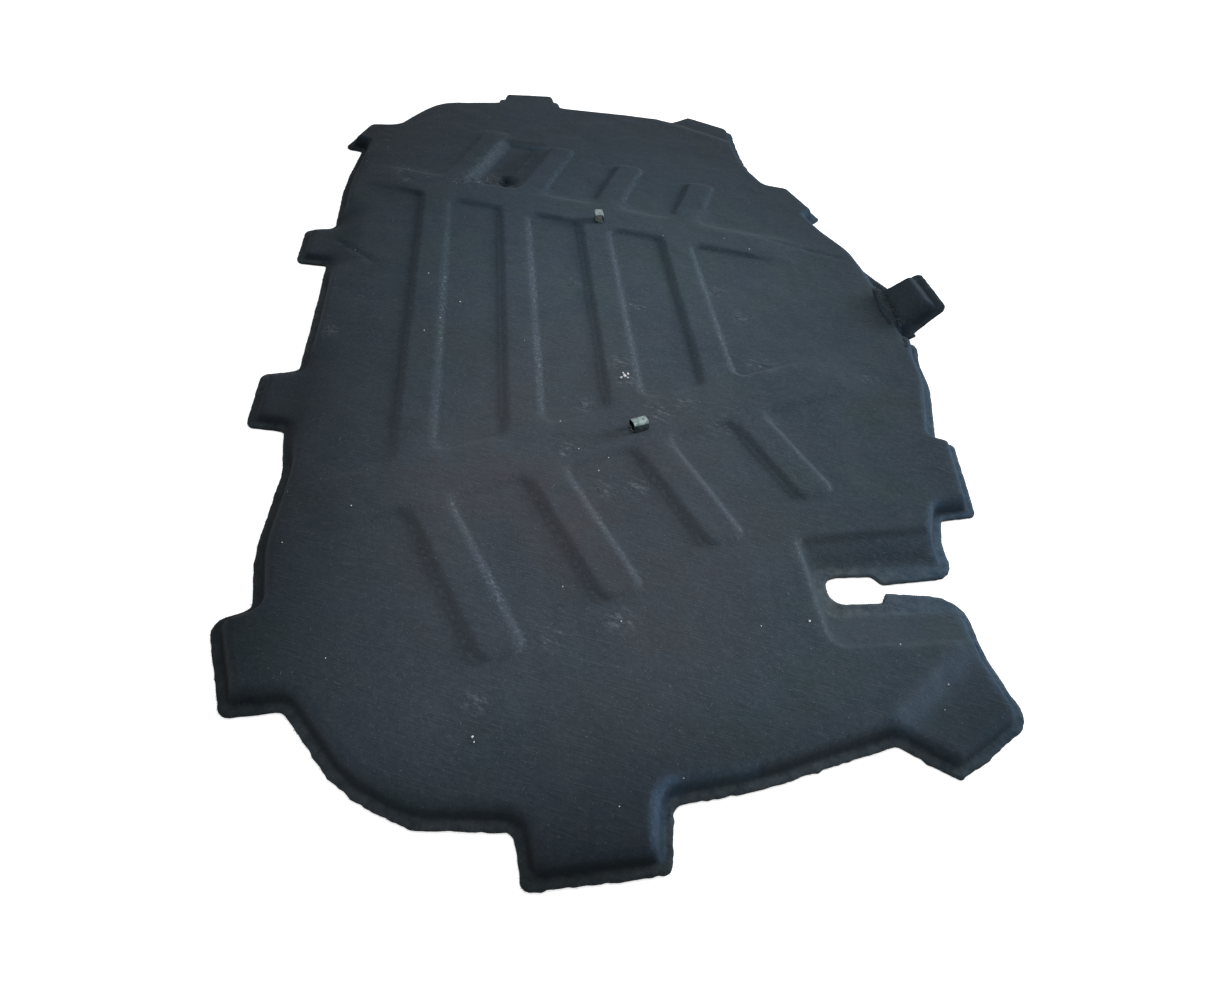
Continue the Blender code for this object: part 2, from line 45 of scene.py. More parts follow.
CELL = 1.0 * MM          # height map cell
MARGIN = 8.0 * MM
FILL_STEP = 4.6 * MM     # point spacing on plain felt
LINE_STEP = 4.0 * MM     # point spacing along a moulded line
ROW_STEP = 2.3 * MM      # rows on both sides of a moulded line
EDGE_STEP = 2.0 * MM     # point spacing along the cut edge
SOFTEN = 1.25            # blur of the height map, in cells
FILL_GAP = 3.4 * MM      # least gap between filling points
LINE_GAP = 1.9 * MM      # least gap between points on moulded lines
UNDER_STEP = 22 * MM     # point spacing of the underside
LOOSE_TRIES = 2600       # places tried for a loose fibre on the face
rng = np.random.default_rng(41)

# Faint creases in the face and open cracks at the torn tab, the cracks also darkened as painted shade: from,
# to, depth and half width in millimetres
CREASES = [((168, -170), (116, -276), 0.8, 2.6), ((158, 378), (88, 326), 1.3, 2.6)]
CRACKS = [
    ((38, -291), (-3, -286), 1.2, 1.3), ((-3, -286), (-36, -288), 1.4, 1.6),
    ((40, -302), (-3, -301), 2.0, 1.8), ((-3, -301), (-45, -297), 2.4, 2.2),
    ((-45, -297), (-82, -292), 1.8, 1.6)]

# Moulded lines that are nearly melted into the face: from, to, reach in millimetres and how far
SOFT_LINES = [
    ((-165, -60), (-205, 95), 16, 0.75), ((-205, 95), (-262, 270), 16, 0.6),
    ((-205, -95), (-330, 275), 13, 0.45), ((-110, -170), (-170, -205), 40, 0.95),
    ((-262, 300), (-340, 330), 34, 0.9), ((110, -190), (170, -215), 30, 0.9),
    ((290, 330), (345, 345), 30, 0.85), ((236, -90), (150, -205), 17, 0.8),
    ((345, 262), (370, 345), 15, 0.6), ((88, 356), (222, 356), 27, 0.95),
    ((-222, 356), (-88, 356), 24, 0.8), ((86, 342), (86, 368), 14, 0.9),
    ((330, 247), (478, 206), 12, 0.8), ((478, 206), (472, 168), 13, 0.7),
    ((322, 146), (426, 108), 12, 0.75), ((210, 128), (262, 250), 10, 0.5),
    ((218, -75), (240, 120), 9, 0.35), ((282, 117), (243, 6), 12, 0.8), ((243, 6), (182, -156), 12, 0.8),
    ((-241, 121), (-182, -52), 9, 0.5), ((-165, -87), (-144, -169), 9, 0.5)]

# Lint on the felt: x, y and size in millimetres
LINT = [
    (130, -150, 1.9), (158, -122, 1.0), (162, -40, 1.0), (-79, 149, 0.9), (-257, 103, 1.2), (-214, 118, 0.9),
    (-266, 75, 1.0), (-283, 86, 1.1), (58, 258, 1.3), (4, 220, 1.4), (-35, 241, 1.2), (-61, 257, 1.0),
    (121, 350, 1.0), (-551, 199, 1.5), (-555, 198, 1.1), (-457, 84, 1.2), (-420, 128, 0.9),
    (-373, 122, 0.9), (-493, 114, 0.8), (-608, 102, 0.8), (-462, 213, 0.9), (-480, 307, 0.8),
    (-363, 357, 0.9), (-326, 305, 0.9), (-464, -69, 1.6), (-467, -28, 0.8), (-489, -138, 0.8),
    (-547, -154, 0.8), (-526, -165, 1.0), (-589, 55, 0.8), (-146, 50, 2.9), (-143, 46, 3.3),
    (-140, 42, 2.6), (-146, 43, 1.9), (-138, 47, 1.7)]

# Scuffed places: x, y and reach in millimetres
SCUFFS = [
    (2, 14, 13), (-117, 50, 13), (-150, 46, 12), (-189, -8, 14), (-307, 85, 12), (-308, 52, 13),
    (49, 88, 10), (-22, -108, 16), (33, -87, 12), (-120, -109, 18), (-223, -42, 14), (-58, 357, 9),
    (337, 313, 12), (306, 300, 10), (-523, 196, 11), (-457, 84, 14), (-144, -226, 10), (-186, 90, 12),
    (-205, 20, 16), (-260, 118, 14), (-470, 140, 12)]

# The slope down to the low corner tab by the slot, which gets a painted highlight and painted blue light,
# from one place to another in millimetres
TAB_SLOPE = ((-500, -188), (-556, -120))

# Painted shade on lines and places, as the photograph has them: from, to, reach in millimetres and how far
SHADES = [((456, 150), (447, 106), 6, 0.40), ((-376, -92), (-366, -204), 4, 0.26)]

# The pocket's floor, darkened as painted shade, its left wall, lightened as a painted highlight, and the
# scuffs there, its torn hole, darkened as painted shade, with the hole's reach each way, and the torn felt
# round it
POCKET_FLOOR = ((338, 170), (402, 132))
POCKET_WALL = ((446, 163), (330, 207))
SCUFFED_WALL = ((440, 170), (330, 210))
HOLE = (321, 165)
HOLE_REACH = (21, 15)
TORN_PATCH = ((312, 226), (314, 180))
TORN_EDGE = [(318, 190), (322, 205), (313, 222), (308, 232), (326, 176), (305, 200)]

# The low corner tab by the slot, darkened as painted shade, and the warmer place on the near half: middle
# and reach each way
LOW_TAB = (-566, -182)
WARM_PLACE = (-330, 130)
WARM_REACH = (260, 200)

# The lower fold of the torn tab, where fibres stick up: its span along X and its place along Y
FOLD_SPAN = (-44, 56)
FOLD_Y = -299

# The cross ridges, in millimetres: their number, the first one's middle, from one to the next, from middle
# to foot, half the length at y = 0 and how much longer each half gets along Y
RIDGES = 4
RIDGE_FIRST = -55.2
RIDGE_PITCH = 104.3
RIDGE_FOOT = 19.5
RIDGE_HALF = 150
BAR_SLANT = 0.36

# The cut edge is rounded by these rings: how far out in millimetres and how far up the side
EDGE_RINGS = ((0.35, 0.72), (0.45, 0.42), (0.25, 0.12))

# Light from the room, the extra light that the camera alone sees on the floor, and the floor's size and drop
ROOM_LIGHT = 0.41
FLOOR_GLOW = 0.6
FLOOR_SIZE = 60.0
FLOOR_DROP = 0.2 * MM

# The photograph's width and focal length in pixels, and the camera's sensor width
PHOTO_WIDTH = 1230.0
PHOTO_FOCAL = 850.0
SENSOR = 36.0

# The camera's place and its right, down and forward axes, as fitted to the photograph
CAMERA_AT = Vector((-0.85763377, 0.17404939, 0.56053269))
CAMERA_AXES = (
    (-0.10492563, -0.99141954, 0.07796100),
    (-0.70307088, 0.01850813, -0.71087889),
    (0.70333631, -0.12940152, -0.69898018))


def raster(corners, low, shape, highest):
    """The highest (or lowest) surface over each cell, from triangles given as an array of corners."""
    out = np.full(shape, np.nan)
    grid = (corners[:, :, :2] - low) / CELL
    for tri, z in zip(grid, corners[:, :, 2]):
        x0, y0 = np.maximum(np.floor(tri.min(0)).astype(int), 0)
        x1, y1 = np.minimum(np.ceil(tri.max(0)).astype(int) + 1, shape)
        a, b, c = tri
        det = (b[0] - a[0]) * (c[1] - a[1]) - (c[0] - a[0]) * (b[1] - a[1])
        if abs(det) < 1e-9:
            continue
        px = np.arange(x0, x1)[:, None]
        py = np.arange(y0, y1)[None, :]
        u = ((px - a[0]) * (c[1] - a[1]) - (c[0] - a[0]) * (py - a[1])) / det
        v = ((b[0] - a[0]) * (py - a[1]) - (px - a[0]) * (b[1] - a[1])) / det
        inside = (u >= -1e-6) & (v >= -1e-6) & (u + v <= 1 + 1e-6)
        height = z[0] + u * (z[1] - z[0]) + v * (z[2] - z[0])
        part = out[x0:x1, y0:y1]
        better = inside & (np.isnan(part) | ((height > part) if highest else (height < part)))
        part[better] = height[better]
    return out


def blurred(values, sigma):
    """Gaussian blur that takes no notice of empty cells."""
    known = ~np.isnan(values)
    filled = np.where(known, values, 0.0)
    fx = np.fft.fftfreq(values.shape[0])[:, None]
    fy = np.fft.rfftfreq(values.shape[1])[None, :]
    kernel = np.exp(-2 * (math.pi * sigma) ** 2 * (fx ** 2 + fy ** 2))
    top = np.fft.irfft2(np.fft.rfft2(filled) * kernel, values.shape)
    low = np.fft.irfft2(np.fft.rfft2(known.astype(float)) * kernel, values.shape)
    return top / np.maximum(low, 1e-3)


def sampled(grid, points, low):
    """Bilinear read of a map at points."""
    place = (points - low) / CELL
    i = np.clip(np.floor(place).astype(int), 0, np.array(grid.shape) - 2)
    f = np.clip(place - i, 0, 1)
    a = grid[i[:, 0], i[:, 1]] * (1 - f[:, 0]) + grid[i[:, 0] + 1, i[:, 1]] * f[:, 0]
    b = grid[i[:, 0], i[:, 1] + 1] * (1 - f[:, 0]) + grid[i[:, 0] + 1, i[:, 1] + 1] * f[:, 0]
    return a * (1 - f[:, 1]) + b * f[:, 1]


def smooth_noise(points, size, seed):
    """Value noise with a smooth falloff between cells, from -1 to 1, at points in metres."""
    place = points / size
    base = np.floor(place).astype(int)
    f = place - base
    f = f * f * (3 - 2 * f)

    def corner(dx, dy):
        n = (base[:, 0] + dx) * 374761393 + (base[:, 1] + dy) * 668265263 + seed * 974711
        n = (n ^ (n >> 13)) * 1274126177
        n = n ^ (n >> 16)
        return (n & 0xFFFF) / 32767.5 - 1.0

    low = corner(0, 0) * (1 - f[:, 0]) + corner(1, 0) * f[:, 0]
    high = corner(0, 1) * (1 - f[:, 0]) + corner(1, 1) * f[:, 0]
    return low * (1 - f[:, 1]) + high * f[:, 1]


def ramped(values, low, high):
    """How far the values are on their way from low to high, from 0 to 1."""
    return np.clip((values - low) / (high - low), 0, 1)


def away_from(points, start, end):
    """Distance of each point from the stretch between two places given in millimetres."""
    a, b = np.array(start) * MM, np.array(end) * MM
    along = np.clip(((points - a) @ (b - a)) / ((b - a) @ (b - a)), 0, 1)
    return np.linalg.norm(points - (a + along[:, None] * (b - a)), axis=1)


def nearness(points, start, end, reach, spread):
    """1 along a stretch, falling to 0 at the spread times the reach, which is in millimetres."""
    return np.clip(spread - away_from(points, start, end) / (reach * MM), 0, 1)


def groove(points, start, end, half):
    """1 along the middle of a line, falling off over its half width in millimetres."""
    return np.exp(-(away_from(points, start, end) / (half * MM)) ** 2)


def round_place(points, middle, reach, spread):
    """1 at the middle of a place, falling to 0 at the spread times the reach, both in millimetres."""
    gap = np.linalg.norm((points - np.array(middle) * MM) / (np.array(reach) * MM), axis=1)
    return np.clip(spread - gap, 0, 1)


def wandering(points):
    """The points pushed about a little, so that a line measured from them isn't straight."""
    push = np.column_stack([smooth_noise(points, 9 * MM, 17), smooth_noise(points, 7 * MM, 18)])
    return points + 1.6 * MM * push


def pad_triangles():
    """The CAD pad as welded triangles."""
    bm = bmesh.new()
    bm.from_mesh(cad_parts["insulation_pad"].data)
    bmesh.ops.remove_doubles(bm, verts=bm.verts, dist=0.000002)
    bmesh.ops.triangulate(bm, faces=bm.faces)
    bm.normal_update()
    return bm


def softened(sharp, soft, low):
    """Melts the moulded lines that the photograph hardly shows."""
    xs = low[0] + np.arange(sharp.shape[0])[:, None] * CELL
    ys = low[1] + np.arange(sharp.shape[1])[None, :] * CELL
    points = np.stack(np.broadcast_arrays(xs, ys), axis=-1).reshape(-1, 2)
    share = np.zeros(len(points))
    for start, end, reach, most in SOFT_LINES:
        share = np.maximum(share, most * nearness(points, start, end, reach, 1.6))
    share = share.reshape(sharp.shape)
    return sharp * (1 - share) + soft * share


def height_maps(bm):
    """The corner of the maps, and the maps: cells with felt, moulded height, underside and inside."""
    corners = np.array([[v.co for v in f.verts] for f in bm.faces])
    normals = np.array([f.normal for f in bm.faces])
    low = corners.reshape(-1, 3).min(0)[:2] - MARGIN
    high = corners.reshape(-1, 3).max(0)[:2] + MARGIN
    shape = tuple(np.ceil((high - low) / CELL).astype(int))
    top = raster(corners[normals[:, 2] > 0.02], low, shape, True)
    under = raster(corners[normals[:, 2] < -0.02], low, shape, False)
    height = softened(blurred(top, SOFTEN), blurred(top, 9.0), low)
    under = blurred(under, SOFTEN)
    inside = blurred((~np.isnan(top)).astype(float), 0.6)
    return low, top, height, under, inside


def outline_loop(bm):
    """The cut edge in plan: where faces that look up meet faces that don't. Anticlockwise."""
    links = {}
    for edge in bm.edges:
        up = [f.normal.z > 0.03 for f in edge.link_faces]
        if len(up) == 2 and up[0] != up[1]:
            face = edge.link_faces[0] if up[0] else edge.link_faces[1]
            loop = next(k for k in face.loops if k.edge == edge)
            links.setdefault(loop.vert.index, []).append(loop.link_loop_next.vert.index)
    best = []
    while links:
        start = next(iter(links))
        chain, here = [], start
        while here in links:
            chain.append(here)
            ahead = links[here].pop()
            if not links[here]:
                del links[here]
            here = ahead
        if len(chain) > len(best):
            best = chain
    bm.verts.ensure_lookup_table()
    return np.array([bm.verts[i].co.xy for i in best])


def spaced(loop, step):
    """The same loop with points no further apart than the step."""
    made = []
    for a, b in zip(loop, np.roll(loop, -1, axis=0)):
        n = max(1, int(math.ceil(np.linalg.norm(b - a) / step)))
        for k in range(n):
            made.append(a + (b - a) * k / n)
    return np.array(made)


def outward(loop):
    """The direction out of the felt at each point of the cut edge."""
    ahead = np.roll(loop, -1, axis=0) - np.roll(loop, 1, axis=0)
    out = np.column_stack([ahead[:, 1], -ahead[:, 0]])
    return out / np.maximum(np.linalg.norm(out, axis=1), 1e-9)[:, None]


def rough_edge(points):
    """Frays the cut edge a little, and more where the felt is torn."""
    x, y = points[:, 0], points[:, 1]
    torn = ramped(x, 0.30, 0.33) * ramped(-y, 0.17, 0.19)
    crumbled = ramped(-x, 0.52, 0.55) * ramped(-y, -0.34, -0.30)
    size = 0.45 * MM + 0.9 * MM * torn + 0.6 * MM * crumbled
    wave = smooth_noise(points, 11 * MM, 3) * 0.6 + smooth_noise(points, 4.2 * MM, 5) * 0.7
    return points + outward(points) * (wave * size)[:, None]


def moulded_points(bm):
    """Points along every moulded line, then rows on both sides of it."""
    middle, rows = [], []

    def add_line(p, q, count, pieces):
        side = np.array([-(q - p)[1], (q - p)[0]]) / np.linalg.norm(q - p)
        for k in range(count):
            here = p + (q - p) * (k + 0.5) / pieces
            middle.append(here)
            rows.extend([here + side * ROW_STEP, here - side * ROW_STEP])

    for start, end, _, _ in CREASES + CRACKS:
        p, q = np.array(start) * MM, np.array(end) * MM
        pieces = np.linalg.norm(q - p) / LINE_STEP
        add_line(p, q, int(pieces), pieces)
    for edge in bm.edges:
        if len(edge.link_faces) != 2:
            continue
        a, b = edge.link_faces
        if a.normal.z < 0.05 or b.normal.z < 0.05 or a.normal.angle(b.normal) < math.radians(11):
            continue
        p, q = np.array(edge.verts[0].co.xy), np.array(edge.verts[1].co.xy)
        length = np.linalg.norm(q - p)
        if length > 1e-6:
            pieces = max(1, int(round(length / LINE_STEP)))
            add_line(p, q, pieces, pieces)
    return np.array(middle + rows)


def cell_of(p, gap):
    """The square of a grid that a point lies in."""
    return int(math.floor(p[0] / gap)), int(math.floor(p[1] / gap))


def thinned(points, gap, cells):
    """The points that are at least the gap away from those in the cells, which take up each one kept."""
    kept = []
    for p in points:
        cx, cy = cell_of(p, gap)
        near = (q for dx in (-1, 0, 1) for dy in (-1, 0, 1) for q in cells.get((cx + dx, cy + dy), ()))
        if all((p[0] - q[0]) ** 2 + (p[1] - q[1]) ** 2 >= gap * gap for q in near):
            cells.setdefault((cx, cy), []).append((p[0], p[1]))
            kept.append(p)
    return np.array(kept)


def within(points, loop):
    """Which points lie inside the loop, by counting crossings."""
    inside = np.zeros(len(points), bool)
    a, b = loop, np.roll(loop, -1, axis=0)
    for (ax, ay), (bx, by) in zip(a, b):
        if ay == by:
            continue
        spans = (points[:, 1] > min(ay, by)) & (points[:, 1] <= max(ay, by))
        cross = ax + (points[:, 1] - ay) * (bx - ax) / (by - ay)
        inside ^= spans & (points[:, 0] < cross)
    return inside


def triangulated(edge, inner):
    """Triangles over the inside of the edge, with the inner points as corners."""
    coords = [Vector(p) for p in edge] + [Vector(p) for p in inner]
    n = len(edge)
    ring = [(i, (i + 1) % n) for i in range(n)]
    verts, _, faces, origin, _, _ = delaunay_2d_cdt(coords, ring, [], 0, 1e-7, True)
    flat = np.array([(v.x, v.y) for v in verts])
    faces = np.array(faces)
    keep = within(flat[faces].mean(1), edge)
    return verts, [tuple(int(i) for i in f) for f in faces[keep]], origin


# The pad's shape, which the rest of the script reads
PAD = pad_triangles()
LOW, TOP, HEIGHT, UNDER, INSIDE = height_maps(PAD)
EDGE = rough_edge(spaced(outline_loop(PAD), EDGE_STEP))


def inner_points():
    """Points along the moulded lines, with an even filling between them."""
    lines = moulded_points(PAD)
    step = FILL_STEP
    xs = np.arange(LOW[0], LOW[0] + TOP.shape[0] * CELL, step)
    ys = np.arange(LOW[1], LOW[1] + TOP.shape[1] * CELL, step * math.sqrt(3) / 2)
    grid = np.array([(x + (step / 2 if j % 2 else 0.0), y) for j, y in enumerate(ys) for x in xs])
    grid = grid + (rng.random(grid.shape) - 0.5) * step * 0.25
    cells = {}
    thinned(EDGE, LINE_GAP, cells)
    lines = lines[sampled(INSIDE, lines, LOW) > 0.995]
    lines = thinned(lines, LINE_GAP, cells)
    grid = grid[sampled(INSIDE, grid, LOW) > 0.995]
    coarse = {}
    for p in list(EDGE) + list(lines):
        coarse.setdefault(cell_of(p, FILL_GAP), []).append((p[0], p[1]))
    return np.vstack([lines, thinned(grid, FILL_GAP, coarse)])


def under_points():
    """A coarse grid for the underside."""
    xs = np.arange(LOW[0], LOW[0] + TOP.shape[0] * CELL, UNDER_STEP)
    ys = np.arange(LOW[1], LOW[1] + TOP.shape[1] * CELL, UNDER_STEP)
    grid = np.array([(x, y) for y in ys for x in xs])
    return grid[sampled(blurred((~np.isnan(TOP)).astype(float), 4), grid, LOW) > 0.99]


def scuffed(points):
    """How far each point lies in a scuffed place, from 0 to 1."""
    out = np.zeros(len(points))
    for x, y, reach in SCUFFS:
        out = np.maximum(out, round_place(points, (x, y), reach, 1.3))
    patch = nearness(points, *TORN_PATCH, 15, 1.5)
    wall = nearness(points, *SCUFFED_WALL, 13, 1.3)
    return np.maximum(out, np.maximum(patch, wall))


def shaped(flat):
    """Height of the felt over each point: the moulded height, with a slight sag and unevenness."""
    z = sampled(HEIGHT, flat, LOW)
    body = ramped(z, 4 * MM, 14 * MM)
    z = z + body * (0.6 * MM * smooth_noise(flat, 95 * MM, 11) + 0.4 * MM * smooth_noise(flat, 31 * MM, 12)
                    + 0.2 * MM * smooth_noise(flat, 11 * MM, 13))
    for start, end, depth, half in CREASES + CRACKS:
        z = z - depth * MM * groove(wandering(flat), start, end, half)
    return z + scuffed(flat) * body * 0.45 * MM * smooth_noise(flat, 4.5 * MM, 14)


def ring_of(origin):
    """The corner of a sheet that came from each point of the cut edge."""
    ring = [None] * len(EDGE)
    for i, sources in enumerate(origin):
        for s in sources:
            if s < len(EDGE):
                ring[s] = i
    return ring


def felt_skin():
    """Top sheet, rounded cut edge and underside as one closed skin."""
    verts, faces, origin = triangulated(EDGE, inner_points())
    flat = np.array([(v.x, v.y) for v in verts])
    z_top = shaped(flat)
    u_verts, u_faces, u_origin = triangulated(EDGE, under_points())
    u_flat = np.array([(v.x, v.y) for v in u_verts])
    z_under = np.maximum(sampled(UNDER, u_flat, LOW), 0.0)
    count = len(EDGE)
    out = outward(EDGE)
    edge_low = sampled(UNDER, EDGE, LOW)
    edge_low = np.where(edge_low < 0.4 * MM, 0.0, edge_low)
    points = [(x, y, z) for (x, y), z in zip(flat, z_top)]
    polys = list(faces)
    rings = [ring_of(origin)]
    for bulge, share in EDGE_RINGS:
        base = len(points)
        for k in range(count):
            z = edge_low[k] + (z_top[rings[0][k]] - edge_low[k]) * share
            p = EDGE[k] + out[k] * bulge * MM
            points.append((p[0], p[1], z))
        rings.append([base + k for k in range(count)])
    base = len(points)
    points += [(x, y, z) for (x, y), z in zip(u_flat, z_under)]
    rings.append([base + i for i in ring_of(u_origin)])
    for k, i in enumerate(rings[-1]):
        points[i] = (points[i][0], points[i][1], float(edge_low[k]) + 0.05 * MM)
    for high_ring, low_ring in zip(rings, rings[1:]):
        for k in range(count):
            j = (k + 1) % count
            polys.append((high_ring[k], low_ring[k], low_ring[j], high_ring[j]))
    polys += [tuple(base + i for i in reversed(f)) for f in u_faces]
    mesh = bpy.data.meshes.new("felt_pad")
    mesh.from_pydata(points, [], polys)
    mesh.update()
    mesh.shade_smooth()
    return mesh


def relief(flat):
    """The moulded height, how far it stands proud in millimetres, and the slopes along Y and along X."""
    fine, broad = blurred(HEIGHT, 1.0), blurred(HEIGHT, 3.6)
    high = sampled(fine, flat, LOW)
    proud = (high - sampled(broad, flat, LOW)) / MM
    step = np.array([0.0, 2.5 * MM])
    slope = (sampled(fine, flat + step, LOW) - sampled(fine, flat - step, LOW)) / (5 * MM)
    facing = (sampled(fine, flat + step[::-1], LOW) - sampled(fine, flat - step[::-1], LOW)) / (5 * MM)
    return high, proud, slope, facing


def on_torn_tab(x, y):
    """1 on the bent-up tab and 0 elsewhere."""
    return ramped(-y, 0.300, 0.308) * (1 - ramped(np.abs(x + 0.008), 0.073, 0.085))


def falloff(x, y):
    """The photograph's light, which fades towards both ends and both sides."""
    near = ramped(-x, 0.05, 0.25)
    tone = 1.0 - 0.54 * ramped(x, 0.05, 0.50)
    tone *= 1.0 - (0.58 + 0.10 * near) * ramped(y, 0.12 + 0.10 * near, 0.38) ** 1.3
    tone *= 1.0 - 0.36 * ramped(-y, 0.03, 0.28) ** 1.2
    return tone * (1.0 - 0.62 * ramped(-x, 0.50, 0.64) ** 1.5)


def felt_tone(flat, high, slope, facing, torn):
    """How light the felt is, all painted light and shade: the light's fall, painted shade in low places, in
    the torn hole and cracks and on the torn tab, and painted light on walls turned from the light.
    """
    tone = falloff(flat[:, 0], flat[:, 1])
    # Painted shade on the flat floor of the recessed pocket
    tone *= 1.0 - 0.38 * nearness(flat, *POCKET_FLOOR, 24, 1.5) * (np.abs(slope) < 0.25)
    # Painted shade on the torn tab, deeper where it slopes up along Y
    tone *= 1.0 - torn * (0.02 + 0.50 * ramped(slope, 0, 0.4))
    # Painted light: walls turned from the key light, towards the camera and the left, are lightened, more
    # high up on the body and little on the ridges
    away = ramped(0.7 * facing - slope, 0, 0.5)
    crest = ramped(high, 8 * MM, 13 * MM)
    tone *= 1.0 + away * np.where(high > 18.6 * MM, 0.06, 0.50 * crest)
    # Painted shade in the torn hole
    tone *= 1.0 - 0.55 * round_place(flat, HOLE, HOLE_REACH, 1.6)
    # Painted shade over the low corner tab by the slot
    tone *= 1.0 - 0.14 * round_place(flat, LOW_TAB, 28, 1.6)
    # Painted shade along the listed lines
    for start, end, reach, dark in SHADES:
        tone *= 1.0 - dark * nearness(flat, start, end, reach, 1.5)
    # Painted shade in the cracks of the torn tab
    for start, end, _, half in CRACKS:
        tone *= 1.0 - 0.66 * groove(wandering(flat), start, end, half)
    return tone


def tinted(tone, far, right):
    """The tone for red, green and blue: bluer at the far end, and bluer at the right-hand edges as painted
    blue light from the window on the rims and walls that face it.
    """
    red = tone * (1 - 0.12 * far) * (1 - 0.10 * right)
    green = tone * (1 - 0.03 * far) * (1 + 0.12 * right)
    blue = tone * (1 + 0.04 * far) * (1 + 0.36 * right)
    return np.column_stack([red, green, blue])


def corner_values(mesh):
    """Values on the corners for the material: painted shade in hollows, painted highlights on walls that
    face the key light, scuffs, rim, warmth, painted highlights on slants, and tone with painted light and
    shade.
    """
    co = np.zeros(len(mesh.vertices) * 3, np.float32)
    mesh.vertices.foreach_get("co", co)
    flat = co.reshape(-1, 3)[:, :2].astype(float)
    x, y = flat[:, 0], flat[:, 1]
    high, proud, slope, facing = relief(flat)
    rim = 1 - ramped(high, 3.5 * MM, 5.0 * MM)
    torn = on_torn_tab(x, y)
    # Painted shade: concave places, such as the feet of walls, get darker
    hollow_shade = np.clip(-proud, 0, 2) * (1 - 0.6 * rim)
    # Painted highlight: walls that face the key light, high on the body, get lighter specks in the material
    lit = ramped(slope, 0, 0.5) * ramped(high, 14 * MM, 18 * MM) * (1 - torn)
    lit = lit * (0.75 + 0.5 * smooth_noise(flat, 42 * MM, 15))
    spot = (((flat - np.array(WARM_PLACE) * MM) / (np.array(WARM_REACH) * MM)) ** 2).sum(axis=1)
    warm = np.exp(-spot) * (0.75 + 0.35 * smooth_noise(flat, 60 * MM, 16))
    step_down = nearness(wandering(flat), *TAB_SLOPE, 11, 1.4)
    # Painted highlight on the slope down to the low tab and on the pocket's left wall, which face the key
    # light
    patchy_step_highlight = 0.65 * step_down * (0.8 + 0.4 * smooth_noise(flat, 12 * MM, 19))
    slant_highlight = np.maximum(nearness(flat, *POCKET_WALL, 8, 1.4), patchy_step_highlight)
    for name, values in (("hollow_shade", hollow_shade), ("lit", lit), ("scuff", scuffed(flat)), ("rim", rim),
                         ("warm", warm), ("slant_highlight", slant_highlight)):
        layer = mesh.attributes.new(name, "FLOAT", "POINT")
        layer.data.foreach_set("value", values.astype(np.float32))
    far = ramped(x, -0.05, 0.40)
    # Painted light from the blue window: the near end tab's right-facing wall gets a painted highlight, and
    # it, the right-hand rims and walls and the slope to the low tab get bluer
    lit_tip_wall = ramped(-x, 0.57, 0.59) * ramped(slope, 0, 0.4) * (y > 0)
    right = ramped(-y, 0.12, 0.22) * np.maximum(rim, ramped(slope, 0, 0.5))
    right = np.maximum(np.maximum(right, 0.45 * step_down), lit_tip_wall)
    # The tone holds painted light and shade, with the painted highlight on the near end tab's right wall
    tone = felt_tone(flat, high, slope, facing, torn) * (1 + 0.5 * lit_tip_wall)
    layer = mesh.attributes.new("tone", "FLOAT_VECTOR", "POINT")
    layer.data.foreach_set("vector", tinted(tone, far, right).astype(np.float32).ravel())


def placed(name, mesh, material):
    """A piece of the visual model, riding on the only body."""
    obj = bpy.data.objects.new(name, mesh)
    bpy.context.scene.collection.objects.link(obj)
    mesh.materials.clear()
    mesh.materials.append(material)
    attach(obj, "root")
    return obj


def strands(name, roots, ways, bends, thick, material):
    """Short tapered fibres, each a closed three-sided spike with one bend."""
    count = len(roots)
    side = np.cross(ways, [0.0, 0.0, 1.0]) + np.array([1e-6, 0.0, 0.0])
    side /= np.linalg.norm(side, axis=1)[:, None]
    upper = np.cross(side, ways)
    upper /= np.maximum(np.linalg.norm(upper, axis=1), 1e-9)[:, None]
    rings = []
    for t, width in ((0.0, 1.0), (0.5, 0.8)):
        middle = roots + ways * t + bends * t * t
        for turn in (0.0, math.tau / 3, 2 * math.tau / 3):
            rings.append(middle + (side * math.cos(turn) + upper * math.sin(turn)) * thick * width)
    rings.append(roots + ways + bends)
    points = np.stack(rings, axis=1).reshape(-1, 3)
    one = [(2, 1, 0)]
    for k in range(3):
        j = (k + 1) % 3
        one += [(k, j, 3 + j, 3 + k), (3 + k, 3 + j, 6)]
    polys = [tuple(7 * n + i for i in face) for n in range(count) for face in one]
    mesh = bpy.data.meshes.new(name)
    mesh.from_pydata(points.tolist(), [], polys)
    mesh.update()
    placed(name, mesh, material)


def surface(points):
    """Height of the moulded face at points."""
    return sampled(HEIGHT, points, LOW)


def edge_fibres(material):
    """The fuzz of the cut edge."""
    roots = np.repeat(EDGE, 2, axis=0)
    out = np.repeat(outward(EDGE), 2, axis=0)
    swing = rng.normal(0.0, 0.75, len(roots))
    turned_x = out[:, 0] * np.cos(swing) - out[:, 1] * np.sin(swing)
    turned_y = out[:, 0] * np.sin(swing) + out[:, 1] * np.cos(swing)
    length = rng.uniform(0.8, 2.6, len(roots)) * MM
    ways = np.column_stack([turned_x, turned_y, rng.uniform(-0.15, 0.5, len(roots))]) * length[:, None]
    bends = rng.normal(0.0, 0.25, ways.shape) * length[:, None]
    low = np.maximum(sampled(UNDER, roots, LOW), 0.0)
    z = low + (surface(roots) - low) * rng.uniform(0.35, 0.95, len(roots))
    roots = np.column_stack([roots - out * 0.4 * MM, z])
    ways[:, 2] = np.maximum(ways[:, 2], -(roots[:, 2] - low) * 0.4)
    bends[:, 2] = np.abs(bends[:, 2])
    strands("edge_fibres", roots, ways, bends, 0.14 * MM, material)


